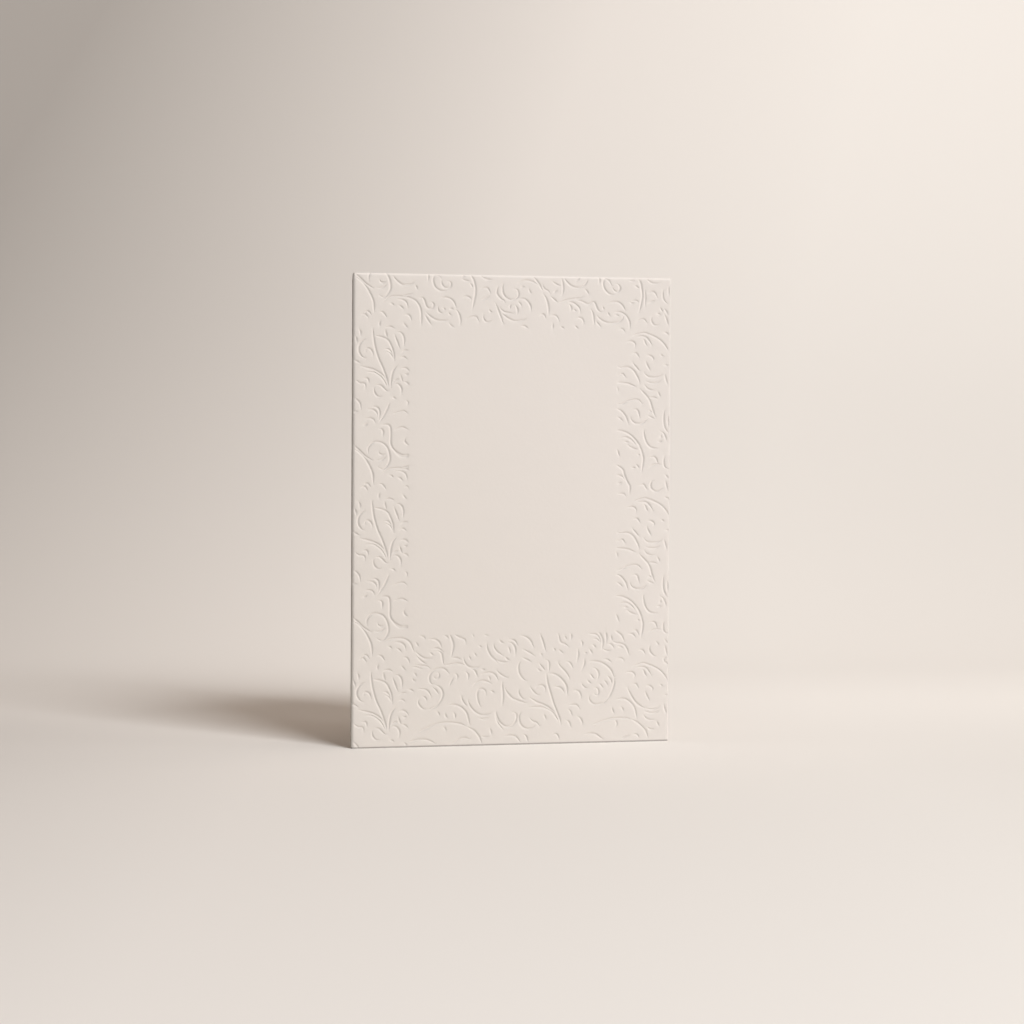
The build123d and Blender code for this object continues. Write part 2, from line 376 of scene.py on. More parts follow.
BOTTOM = (
    # last arch of the fold side and the leaf that lies under it
    ((122, 1384), (152, 1373), (172, 1370), (192, 1369), (209, 1373), (223, 1381), (234, 1393),
     (247, 1424)),
    ((250, 1420), (262, 1430), (276, 1441), (294, 1448), (324, 1447)),
    ((254, 1436), (264, 1446), (275, 1457), (298, 1471)),
    ((266, 1361), (277, 1363), (286, 1368), (292, 1377)),
    ((253, 1385), (259, 1395), (265, 1403)),
    ((302, 1374), (326, 1376), (338, 1381), (347, 1390), (357, 1412)),
    ((314, 1413), (330, 1410), (344, 1412), (356, 1419), (364, 1428)),
    ((332, 1420), (346, 1423), (356, 1432), (361, 1462), (366, 1474)),
    ((308, 1424), (316, 1432), (324, 1435)),
    ((364, 1362), (376, 1367), (385, 1375)),
    ((381, 1350), (389, 1363), (397, 1380), (401, 1395), (401, 1410), (393, 1445)),
    ((400, 1350), (412, 1362), (428, 1371), (442, 1376), (449, 1382), (451, 1398)),
    ((472, 1352), (479, 1361), (483, 1371)),
    ((520, 1358), (532, 1363), (543, 1365)),
    ((503, 1402), (510, 1406), (516, 1409)),
    ((484, 1428), (490, 1437), (495, 1443)),
    ((464, 1441), (468, 1450), (473, 1455)),
    # waves that run right from the leaf
    ((250, 1472), (266, 1473), (297, 1477), (306, 1482), (311, 1490)),
    ((238, 1481), (254, 1480), (268, 1483), (282, 1487)),
    ((246, 1500), (253, 1509), (258, 1515)),
    ((240, 1522), (247, 1531), (254, 1528)),
    ((222, 1562), (234, 1565), (248, 1572)),
    ((392, 1446), (410, 1447), (424, 1450), (436, 1456)),
    ((441, 1443), (445, 1458), (453, 1473), (464, 1482), (482, 1486), (500, 1484), (512, 1477)),
    ((464, 1484), (479, 1492), (490, 1501), (499, 1524)),
    ((366, 1474), (392, 1472), (416, 1468), (438, 1472), (456, 1479)),
    # two rings joined by an S
    ((388, 1510), (376, 1496), (362, 1487), (346, 1486), (330, 1490), (316, 1500), (308, 1515),
     (308, 1530), (314, 1542), (328, 1547)),
    ((328, 1547), (344, 1554), (356, 1566), (361, 1582), (357, 1600), (347, 1616), (333, 1629),
     (315, 1638), (297, 1641)),
    ((297, 1641), (280, 1636), (268, 1624), (264, 1610), (268, 1598)),
    ((338, 1499), (345, 1505), (346, 1516), (340, 1523), (330, 1524), (323, 1514)),
    ((262, 1561), (278, 1563), (291, 1565), (303, 1573), (311, 1585), (315, 1598)),
    ((280, 1590), (289, 1594), (295, 1601), (297, 1610)),
    ((318, 1556), (330, 1565), (340, 1577), (346, 1586)),
    ((403, 1521), (394, 1537), (386, 1553)),
    ((408, 1507), (417, 1512), (419, 1523), (414, 1532)),
    ((450, 1500), (459, 1507), (462, 1518), (460, 1532)),
    # leaf and arches in the middle
    ((536, 1390), (536, 1408), (541, 1424), (549, 1438), (558, 1449), (571, 1460), (584, 1472)),
    ((562, 1393), (564, 1408), (571, 1421), (581, 1431), (594, 1438), (602, 1445)),
    ((585, 1382), (594, 1391), (605, 1395)),
    ((568, 1454), (582, 1462), (600, 1466), (624, 1466)),
    ((572, 1494), (583, 1506), (597, 1517), (613, 1524), (625, 1527)),
    ((508, 1513), (524, 1508), (544, 1505), (559, 1508), (571, 1517), (582, 1537)),
    ((541, 1518), (547, 1526), (549, 1537)),
    ((512, 1493), (522, 1494), (531, 1496)),
    ((622, 1381), (636, 1382), (648, 1388), (660, 1407)),
    ((618, 1390), (632, 1394), (643, 1404), (649, 1418), (650, 1446)),
    ((620, 1407), (626, 1420), (629, 1434)),
    ((607, 1446), (616, 1454), (628, 1461)),
    # great ring and the upright beside it
    ((478, 1558), (490, 1545), (506, 1538), (524, 1536), (542, 1541), (558, 1550)),
    ((434, 1588), (438, 1606), (448, 1622), (462, 1634)),
    ((460, 1604), (466, 1624), (478, 1642), (491, 1654), (507, 1663), (526, 1666), (544, 1662),
     (559, 1653)),
    ((512, 1637), (505, 1623), (500, 1606), (498, 1590), (500, 1574), (508, 1567), (519, 1567),
     (529, 1573), (532, 1583), (531, 1593)),
    ((549, 1574), (558, 1577), (567, 1582)),
    ((598, 1538), (598, 1558), (600, 1580), (601, 1600), (598, 1634)),
    ((606, 1562), (614, 1576), (624, 1590), (636, 1602), (651, 1610), (684, 1621), (700, 1624)),
    ((664, 1568), (664, 1583), (670, 1597), (680, 1606), (693, 1611)),
    # arcs and open scrolls right of the middle
    ((670, 1366), (685, 1370), (699, 1377), (711, 1389), (724, 1416)),
    ((676, 1418), (692, 1425), (707, 1433), (722, 1442), (732, 1447)),
    ((676, 1450), (690, 1456), (704, 1462), (716, 1470)),
    ((670, 1462), (664, 1476), (662, 1492), (665, 1508), (674, 1524), (686, 1535), (700, 1540)),
    ((748, 1358), (753, 1372), (759, 1388), (769, 1421), (772, 1432)),
    ((749, 1434), (754, 1440), (758, 1446)),
    ((768, 1461), (779, 1463), (785, 1472), (785, 1500), (780, 1508)),
    ((746, 1472), (753, 1483), (762, 1493), (770, 1502)),
    ((738, 1492), (746, 1500), (756, 1503)),
    # lower leaf, its scroll and branches
    ((775, 1510), (777, 1532), (782, 1556), (797, 1604), (805, 1628), (824, 1674), (832, 1694),
     (834, 1712)),
    ((780, 1513), (799, 1514), (815, 1519), (830, 1529), (843, 1542), (853, 1556), (858, 1570),
     (860, 1600)),
    ((806, 1563), (822, 1565), (836, 1571), (850, 1590)),
    ((708, 1560), (717, 1573), (727, 1585), (738, 1592), (752, 1595)),
    ((734, 1570), (738, 1560), (750, 1557), (762, 1559), (770, 1569), (769, 1584)),
    ((706, 1602), (722, 1612), (738, 1622), (756, 1628), (773, 1636), (801, 1654), (812, 1660)),
    ((704, 1640), (730, 1639), (754, 1640), (776, 1647), (794, 1656), (807, 1669), (826, 1698)),
    ((766, 1665), (770, 1678), (775, 1690)),
    # rings at the foot
    ((574, 1650), (576, 1668), (582, 1684), (592, 1698), (606, 1708), (620, 1712), (636, 1708),
     (648, 1697), (655, 1682), (655, 1668), (647, 1659), (635, 1658)),
    ((571, 1656), (574, 1676), (580, 1695), (592, 1712), (605, 1726)),
    ((672, 1655), (666, 1672), (666, 1688), (672, 1704), (684, 1716), (702, 1722), (720, 1717),
     (732, 1706)),
    ((706, 1678), (714, 1688), (725, 1696), (737, 1700), (750, 1716)),
    # arches that rise from the foot at the left
    ((256, 1731), (280, 1718), (302, 1709), (325, 1699), (350, 1693), (376, 1691), (400, 1692),
     (421, 1695), (440, 1700), (456, 1707)),
    ((456, 1707), (470, 1715), (485, 1723), (497, 1736), (507, 1750), (518, 1776)),
    ((378, 1627), (398, 1624), (418, 1627), (435, 1635), (449, 1648), (457, 1660), (466, 1692),
     (468, 1704)),
    ((371, 1654), (373, 1667), (380, 1676)),
    ((402, 1652), (409, 1661), (410, 1677)),
    ((338, 1646), (344, 1655), (350, 1666)),
    ((362, 1709), (370, 1712), (374, 1724)),
    ((549, 1714), (553, 1728), (556, 1742)),
    ((512, 1746), (530, 1749), (548, 1747)),
    ((502, 1678), (525, 1681), (548, 1676)),
    ((222, 1765), (242, 1757), (262, 1753), (286, 1753), (306, 1757), (338, 1772)),
    ((392, 1772), (410, 1765), (430, 1754), (450, 1751), (476, 1757)),
    ((602, 1752), (616, 1746), (638, 1746), (655, 1753), (674, 1776)),
    ((682, 1741), (694, 1750), (704, 1776)),
    ((800, 1750), (814, 1744), (823, 1752), (828, 1768)),
    # twigs and marks over the right scroll
    ((820, 1358), (825, 1372), (828, 1386), (834, 1396), (848, 1401), (859, 1408), (866, 1417)),
    ((872, 1360), (875, 1372), (872, 1386)),
    ((848, 1370), (853, 1380), (857, 1384)),
    ((822, 1421), (832, 1429), (844, 1438)),
    ((802, 1416), (808, 1422), (812, 1426)),
    ((913, 1388), (919, 1396), (919, 1412)),
    ((901, 1420), (904, 1436), (902, 1452), (898, 1472)),
    ((947, 1420), (955, 1431), (961, 1442)),
    ((932, 1434), (936, 1439)),
    ((928, 1456), (929, 1476), (923, 1492), (915, 1506)),
    ((820, 1466), (827, 1482), (839, 1495), (852, 1508), (863, 1523), (869, 1538)),
    ((854, 1468), (867, 1472), (876, 1482), (882, 1497)),
    ((884, 1580), (898, 1580), (908, 1586), (914, 1597), (915, 1612)),
    ((862, 1638), (878, 1634), (896, 1635), (905, 1642), (911, 1654)),
    ((863, 1650), (873, 1660), (880, 1678)),
    ((898, 1677), (911, 1685), (919, 1697), (923, 1714)),
    ((855, 1692), (867, 1700), (876, 1722)),
    # round scroll under the panel's corner
    ((960, 1340), (977, 1350), (989, 1362), (998, 1377), (1003, 1393), (1000, 1428)),
    ((940, 1361), (958, 1364), (974, 1367), (986, 1376), (992, 1388), (994, 1403)),
    ((960, 1383), (974, 1383), (986, 1390), (993, 1400)),
    ((960, 1406), (968, 1410), (976, 1418)),
    ((1010, 1340), (1015, 1360), (1018, 1382), (1017, 1404)),
    ((1038, 1353), (1053, 1355), (1069, 1364), (1081, 1375), (1092, 1400)),
    ((1036, 1368), (1038, 1382), (1043, 1393)),
    ((1040, 1393), (1056, 1400), (1076, 1403), (1090, 1409), (1100, 1421), (1111, 1450)),
    ((1062, 1413), (1077, 1416), (1088, 1422)),
    ((1022, 1405), (1034, 1405), (1043, 1412), (1049, 1422)),
    ((1002, 1420), (1014, 1428), (1028, 1430), (1040, 1425)),
    ((1056, 1468), (1070, 1459), (1084, 1462), (1091, 1474)),
    ((1004, 1462), (1018, 1463), (1030, 1468), (1041, 1476)),
    ((1124, 1358), (1132, 1354), (1141, 1355), (1150, 1372)),
    ((1106, 1366), (1120, 1366), (1130, 1372), (1137, 1383)),
    ((1147, 1430), (1160, 1428), (1170, 1434), (1177, 1447)),
    ((1198, 1408), (1194, 1426), (1199, 1440), (1212, 1451), (1226, 1455)),
    ((1220, 1396), (1227, 1404), (1234, 1412)),
    ((1270, 1458), (1257, 1461), (1254, 1470), (1262, 1478)),
    # great scroll at the right
    ((944, 1470), (964, 1469), (984, 1471), (1002, 1477), (1017, 1486), (1029, 1496), (1039, 1508),
     (1050, 1534)),
    ((1050, 1534), (1051, 1552), (1046, 1572), (1038, 1592), (1028, 1608), (1014, 1620)),
    ((950, 1598), (949, 1612), (956, 1626), (972, 1634), (992, 1633), (1010, 1628), (1028, 1610)),
    ((962, 1493), (975, 1498), (983, 1508), (987, 1519), (985, 1532), (980, 1540)),
    ((950, 1516), (957, 1523), (964, 1532), (972, 1536)),
    ((940, 1541), (948, 1549), (958, 1554)),
    ((917, 1550), (923, 1562), (933, 1570), (946, 1571)),
    ((1021, 1525), (1031, 1534), (1038, 1545), (1041, 1560)),
    ((1008, 1542), (1018, 1552), (1024, 1564)),
    ((988, 1554), (998, 1563), (1006, 1573)),
    ((966, 1572), (977, 1571), (985, 1578), (987, 1589), (982, 1599), (973, 1598), (969, 1590)),
    # arches that rise from the foot at the right
    ((1056, 1618), (1075, 1615), (1094, 1616), (1110, 1624), (1124, 1637), (1134, 1651),
     (1142, 1682), (1143, 1696)),
    ((960, 1713), (980, 1706), (1000, 1699), (1020, 1694), (1042, 1690), (1065, 1688),
     (1087, 1689), (1104, 1690), (1119, 1694)),
    ((1119, 1694), (1134, 1701), (1147, 1708), (1159, 1718), (1171, 1729), (1181, 1742), (1192, 1772)),
    ((1043, 1644), (1045, 1660), (1052, 1672)),
    ((1077, 1644), (1085, 1653), (1089, 1664)),
    ((1052, 1694), (1061, 1704), (1062, 1714), (1055, 1723)),
    ((926, 1749), (946, 1745), (965, 1746), (980, 1751), (1010, 1772)),
    ((1128, 1755), (1140, 1753), (1149, 1759), (1154, 1769)),
    ((1076, 1768), (1098, 1762), (1120, 1754)),
    # last bowl of the free side
    ((1104, 1570), (1112, 1588), (1122, 1606), (1134, 1624), (1146, 1636), (1160, 1645), (1178, 1653)),
    ((1178, 1653), (1204, 1658), (1224, 1655), (1241, 1646)),
    ((1186, 1726), (1200, 1734), (1220, 1734)),
)
DOWN_FOLD_SIDE = ((-4, 1), (-4, FOLD_SIDE_STEP + 1), (-6, 2 * FOLD_SIDE_STEP))
DOWN_FREE_SIDE = ((0, 0), (2, FREE_SIDE_STEP), (4, 2 * FREE_SIDE_STEP))
HEAD_DOWN = ((0, 0), (8, FREE_SIDE_STEP), (6, 2 * FREE_SIDE_STEP))
REPEATS = (
    (FOLD_SIDE_STEM, DOWN_FOLD_SIDE),
    (FOLD_SIDE_ARCH, DOWN_FOLD_SIDE[:2]),
    (FOLD_SIDE_LEAF, DOWN_FOLD_SIDE),
    (FOLD_SIDE_BOWL, DOWN_FOLD_SIDE[:2]),
    (TOP_LEFT, ((-4, 0),)),
    (TOP_RIGHT, ((-2, -1),)),
    (FREE_SIDE_HEAD, HEAD_DOWN),
    (FREE_SIDE_BRANCH, DOWN_FREE_SIDE[:2]),
    (FREE_SIDE_MARKS, DOWN_FREE_SIDE),
    (FREE_SIDE_FOOT, DOWN_FREE_SIDE[:2]),
    (FREE_SIDE_WAVE, DOWN_FREE_SIDE[:1]),
    (BOTTOM, ((-2, -1),)),
)


def flowing_line(points, spacing):
    """Evenly spaced points along the curve that flows through the given ones."""
    given = [np.array(p, float) for p in points]
    given = [2 * given[0] - given[1]] + given + [2 * given[-1] - given[-2]]
    fine = []
    for a, b, c, d in zip(given, given[1:], given[2:], given[3:]):
        for t in np.linspace(0, 1, CURVE_STEPS, endpoint=False):
            fine.append(b + ((c - a) * t + (2 * a - 5 * b + 4 * c - d) * t ** 2
                             + (3 * b - a - 3 * c + d) * t ** 3) / 2)
    fine = np.array(fine + [given[-2]])
    run = np.concatenate([[0], np.cumsum(np.hypot(*np.diff(fine, axis=0).T))])
    stations = np.linspace(0, run[-1], max(FEWEST_STATIONS, round(run[-1] / spacing) + 1))
    return np.stack([np.interp(stations, run, fine[:, axis]) for axis in (0, 1)], 1)


def panel_margin(flat):
    """How far each flat point lies outside the plain panel, 0 on it."""
    left, right = BORDER_FOLD_SIDE, LEAF_WIDE - BORDER_FREE_SIDE
    low, high = BORDER_BOTTOM, LEAF_HIGH - BORDER_TOP
    aside = np.maximum(left - flat[:, 0], flat[:, 0] - right)
    above = np.maximum(low - flat[:, 1], flat[:, 1] - high)
    return np.maximum(0, np.maximum(aside, above))


def all_strokes():
    """Every stroke that shows on the front leaf: its stations and how full it is at each."""
    strokes = []
    for group, places in REPEATS:
        for across, down in places:
            for drawn in group:
                points = [((x + across) / 10, LEAF_HIGH - (y + down) / 10) for x, y in drawn]
                line = flowing_line(points, ALONG_STROKE)
                shown = (panel_margin(line) > 0) & (line[:, 0] > -1) & (line[:, 0] < LEAF_WIDE)
                shown &= (line[:, 1] > 0) & (line[:, 1] < LEAF_HIGH)
                if shown.sum() < FEWEST_SHOWN:
                    continue
                run = np.linspace(0, len(line) - 1, len(line)) * ALONG_STROKE
                point = min(STROKE_POINT, run[-1] / 2)
                rise = np.clip(np.minimum(run, run[-1] - run) / point, 0, 1)
                strokes.append((line, rise * (2 - rise), shown))
    return strokes


def smooth(t):
    """0 below 0, 1 above 1, and an even S between them."""
    t = np.clip(t, 0, 1)
    return t * t * (3 - 2 * t)


def pressed_depth(flat, strokes):
    """How deep the scrollwork is pressed at each flat point of the outer face."""
    deepest = np.zeros(len(flat))
    nearest = np.full(len(flat), np.inf)
    reach = 2 * SHOULDER_WIDE
    for line, full, _ in strokes:
        low, high = line.min(0) - reach, line.max(0) + reach
        close = np.flatnonzero(np.all((flat > low) & (flat < high), axis=1))
        if not len(close):
            continue
        start, run = line[:-1], np.diff(line, axis=0)
        offset = flat[close, None] - start[None]
        share = np.clip((offset * run).sum(2) / (run ** 2).sum(1), 0, 1)
        gap = np.hypot(*np.moveaxis(offset - share[..., None] * run, 2, 0))
        best = gap.argmin(1)
        row = np.arange(len(close))
        gap, share = gap[row, best], share[row, best]
        here = full[best] * (1 - share) + full[best + 1] * share
        across = np.clip(gap / (STROKE_WIDE / 2 * np.maximum(here, NARROWEST)), 0, 1)
        deep = STROKE_DEEP * here * (1 + np.cos(math.pi * across)) / 2
        deepest[close] = np.maximum(deepest[close], deep)
        nearest[close] = np.minimum(nearest[close], gap)
    shoulder = SHOULDER_DEEP * np.exp(-(nearest / SHOULDER_WIDE) ** 2)
    return (deepest + shoulder) * smooth(panel_margin(flat) / PANEL_FADE)


def edge_distance(flat):
    """How far each flat point is from the nearest cut edge."""
    across = np.minimum(flat[:, 0] - REAR_EDGE, LEAF_WIDE - flat[:, 0])
    return np.minimum(across, np.minimum(flat[:, 1], LEAF_HIGH - flat[:, 1]))


def keep_apart(points, gap):
    """The points in order, without those that come too near one kept before them."""
    cells = {}
    kept = []
    for x, y in points:
        i, j = int(x // gap), int(y // gap)
        crowded = False
        for a in (i - 1, i, i + 1):
            for b in (j - 1, j, j + 1):
                for u, v in cells.get((a, b), ()):
                    if (u - x) ** 2 + (v - y) ** 2 < gap * gap:
                        crowded = True
        if not crowded:
            cells.setdefault((i, j), []).append((x, y))
            kept.append((x, y))
    return kept


def rows(start, end, spacing):
    """Evenly spaced values from start to end, both included."""
    return np.linspace(start, end, max(2, round((end - start) / spacing) + 1))


def rim_points():
    """Points round the flat sheet's cut edge, close along the front leaf and wide behind."""
    fold_end = FOLD_RADIUS - FOLD_LONG
    across = np.concatenate([
        rows(REAR_EDGE, fold_end, REAR_GRID)[:-1],
        rows(fold_end, FOLD_RADIUS, FOLD_LONG / FOLD_STEPS)[:-1],
        rows(FOLD_RADIUS, LEAF_WIDE, EDGE_GRID),
    ])
    front = rows(0, LEAF_HIGH, EDGE_GRID)[1:-1]
    rear = rows(0, LEAF_HIGH, REAR_GRID)[1:-1]
    foot = [(x, 0.0) for x in across]
    free = [(LEAF_WIDE, y) for y in front]
    head = [(x, LEAF_HIGH) for x in across[::-1]]
    back = [(REAR_EDGE, y) for y in rear[::-1]]
    return foot + free + head + back


def spread(across, up):
    """Every pairing of the two lists of places."""
    return [(x, y) for x in across for y in up]


def fold_lines(spacing):
    """Rows of points that let the sheet bend evenly round the fold."""
    bends = rows(FOLD_RADIUS - FOLD_LONG, FOLD_RADIUS, FOLD_LONG / FOLD_STEPS)
    return spread(bends, rows(0, LEAF_HIGH, spacing)[1:-1])


def outer_points(strokes):
    """Points of the outer face: close on strokes and edges, wide on plain paper."""
    fine = rim_points()
    for inset in EDGE_ROWS:
        low, high = inset, LEAF_HIGH - inset
        side = LEAF_WIDE - inset
        fine += spread(rows(FOLD_RADIUS, side, EDGE_GRID), (low, high))
        fine += spread((side,), rows(low, high, EDGE_GRID))
        fine += spread((REAR_EDGE + inset,), rows(low, high, REAR_GRID))
        fine += spread(rows(REAR_EDGE, FOLD_RADIUS - FOLD_LONG, REAR_GRID)[1:-1], (low, high))
    fine += fold_lines(EDGE_GRID)
    for share in ACROSS_STROKE:
        for line, full, shown in strokes:
            ahead = np.gradient(line, axis=0)
            ahead /= np.hypot(ahead[:, 0], ahead[:, 1])[:, None]
            side = np.stack([-ahead[:, 1], ahead[:, 0]], 1)
            half = STROKE_WIDE / 2 * np.maximum(full, NARROWEST)
            placed = (line + side * (share * half)[:, None])[shown]
            inside = (edge_distance(placed) > EDGE_CLEAR) & (placed[:, 0] > FOLD_RADIUS + EDGE_CLEAR)
            fine += [tuple(p) for p in placed[inside & (panel_margin(placed) > 0)]]
    fine = keep_apart(fine, NEAREST)
    border = spread(rows(FOLD_RADIUS, LEAF_WIDE, BORDER_GRID), rows(0, LEAF_HIGH, BORDER_GRID))
    border = [p for p, m in zip(border, panel_margin(np.array(border))) if m > 0]
    left, right = BORDER_FOLD_SIDE, LEAF_WIDE - BORDER_FREE_SIDE
    low, high = BORDER_BOTTOM, LEAF_HIGH - BORDER_TOP
    for inset in PANEL_ROWS:
        border += spread(rows(left + inset, right - inset, EDGE_GRID), (low + inset, high - inset))
        border += spread((left + inset, right - inset), rows(low + inset, high - inset, EDGE_GRID))
    panel = spread(rows(left, right, PANEL_GRID)[1:-1], rows(low, high, PANEL_GRID)[1:-1])
    rear = rows(REAR_EDGE, FOLD_RADIUS - FOLD_LONG, REAR_GRID)[1:-1]
    panel += spread(rear, rows(0, LEAF_HIGH, REAR_GRID)[1:-1])
    tree = kdtree.KDTree(len(fine))
    for number, (x, y) in enumerate(fine):
        tree.insert((x, y, 0), number)
    tree.balance()
    for points, grid in ((border, BORDER_GRID), (panel, PANEL_GRID)):
        fine += [(x, y) for x, y in points if tree.find((x, y, 0))[2] > GRID_CLEAR * grid]
    return fine


def inner_points():
    """Points of the plain inner face, with the same rim as the outer one."""
    up = rows(0, LEAF_HIGH, REAR_GRID)[1:-1]
    front = rows(FOLD_RADIUS, LEAF_WIDE, REAR_GRID)[1:-1]
    rear = rows(REAR_EDGE, FOLD_RADIUS - FOLD_LONG, REAR_GRID)[1:-1]
    return rim_points() + fold_lines(REAR_GRID) + spread(front, up) + spread(rear, up)


def triangles(points):
    """The flat points, in the order given, and the triangles that join them."""
    flat = [Vector(p) for p in points]
    spots, _, faces, _, _, _ = delaunay_2d_cdt(flat, [], [], 0, SAME_SPOT, False)
    return np.array([tuple(v) for v in spots]), faces


def folded(flat, depth):
    """Flat points, each that deep under the outer face, on the sheet folded into the frame."""
    turn = np.clip((FOLD_RADIUS - flat[:, 0]) / FOLD_RADIUS, 0, FOLD_TURN)
    radius = FOLD_RADIUS - depth
    ahead = np.maximum(0, flat[:, 0] - FOLD_RADIUS)
    behind = np.maximum(0, FOLD_RADIUS - FOLD_LONG - flat[:, 0])
    opening = math.pi - FOLD_TURN
    x = FOLD_RADIUS - radius * np.sin(turn) + ahead + behind * math.cos(opening)
    y = FOLD_RADIUS - radius * np.cos(turn) + behind * math.sin(opening)
    return np.stack([LOW.x + x * MM, LOW.y + y * MM, LOW.z + flat[:, 1] * MM], 1)


def make_card():
    """The whole folded sheet as one closed mesh: outer face, inner face and cut edge."""
    strokes = all_strokes()
    outer, outer_faces = triangles(outer_points(strokes))
    inner, inner_faces = triangles(inner_points())
    roll = np.clip(1 - edge_distance(outer) / EDGE_ROLL, 0, 1) ** 2
    foot = np.clip(1 - outer[:, 1] / FOOT_ROLL, 0, 1) ** 2
    from_top = LEAF_HIGH - outer[:, 1]
    head = np.clip(1 - from_top / HEAD_ROLL, 0, 1) ** 2
    rolled = np.maximum(EDGE_DROP * roll, np.maximum(FOOT_DROP * foot, HEAD_DROP * head))
    lean = LEAN_DROP * np.clip(1 - from_top / LEAN_HIGH, 0, 1) ** 2
    depth = np.maximum(pressed_depth(outer, strokes), rolled) + lean
    back_roll = np.clip(1 - edge_distance(inner) / EDGE_ROLL, 0, 1) ** 2
    spots = np.concatenate([
        folded(outer, depth),
        folded(inner, SHEET_THICK - BACK_EDGE_DROP * back_roll),
    ])
    count = len(outer)
    faces = [tuple(f) for f in outer_faces]
    faces += [tuple(count + i for i in reversed(f)) for f in inner_faces]
    rim = len(rim_points())
    for here in range(rim):
        after = (here + 1) % rim
        faces.append((after, here, count + here, count + after))
    mesh = bpy.data.meshes.new("invitation_card")
    mesh.from_pydata(spots.tolist(), [], faces)
    mesh.update()
    card = bpy.data.objects.new("invitation_card", mesh)
    bpy.context.scene.collection.objects.link(card)
    return card


def select_only(thing):
    bpy.ops.object.select_all(action="DESELECT")
    thing.select_set(True)
    bpy.context.view_layer.objects.active = thing


card = make_card()
select_only(card)
bpy.ops.object.mode_set(mode="EDIT")
bpy.ops.mesh.select_all(action="SELECT")
bpy.ops.mesh.normals_make_consistent(inside=False)
bpy.ops.object.mode_set(mode="OBJECT")
bpy.ops.object.shade_smooth_by_angle(angle=SMOOTH_ANGLE)
print("card triangles", sum(len(p.vertices) - 2 for p in card.data.polygons))


# Finishes. A pattern's scale is one over the size in metres that it repeats at.
# Cotton paper: painted shade, darker by the fold and lighter towards the free edge
# and higher up, with how much height counts in that; a painted contact shadow at its foot
# and a painted highlight along its cut top edge, with where they start and end.
PAPER_SHADED_BY_FOLD = "#BDB6AF"
PAPER_LIT_BY_EDGE = "#C3BCB6"
PAPER_SHADE_TILT = 0.5
FOOT_SHADOW_TONE, FOOT_SHADOW_FULL, FOOT_SHADOW_END = 0.6, 0.4 * MM, 0.7 * MM
HEAD_HIGHLIGHT_TONE, HEAD_HIGHLIGHT_START, HEAD_HIGHLIGHT_FULL = 1.12, HIGH.z - 0.9 * MM, HIGH.z - 0.4 * MM
CLOUDS = 1 / 0.014
CLOUD_SHIFT = 0.016
FELT = 1 / 0.0016
FELT_HIGH = 0.1 * MM
TOOTH = 1 / 0.0004
TOOTH_HIGH = 0.05 * MM

# Background paper: painted shade from the far left, darkest, to the lit right, with how much
# height counts in that, and painted shade that deepens it in front of the card and up the backdrop
BACKDROP_SHADED = "#B4AEA8"
BACKDROP_HALF_SHADED = "#F2ECE6"
BACKDROP_LIT = "#FCF7F1"
GRADE_START, GRADE_END = -0.45, 0.15
GRADE_KNEE = 0.63
GRADE_TILT = 0.35
FRONT_SHADE_TONE, FRONT_START, FRONT_END = 0.86, -0.14, 0.24
WALL_SHADE_TONE, WALL_START, WALL_END = 0.77, 0.18, 1.16
GRAIN = 1 / 0.0012
GRAIN_HIGH = 0.1 * MM


def colour(code):
    """An sRGB hex value as the linear colour a shader takes."""
    parts = [int(code[i:i + 2], 16) / 255 for i in (1, 3, 5)]
    return tuple(c / 12.92 if c <= 0.04045 else ((c + 0.055) / 1.055) ** 2.4 for c in parts) + (1,)


def finish(name):
    """A new material: its name, nodes and shader."""
    material = bpy.data.materials.new(name)
    material.use_nodes = True
    return material, material.node_tree, material.node_tree.nodes["Principled BSDF"]


def add(tree, kind, links=(), **settings):
    """Adds a node, sets its sockets or properties, and links (output, input) pairs into it."""
    node = tree.nodes.new(kind)
    for name, value in settings.items():
        if name in node.inputs:
            node.inputs[name].default_value = value
        else:
            setattr(node, name, value)
    for output, name in links:
        tree.links.new(output, node.inputs[name])
    return node


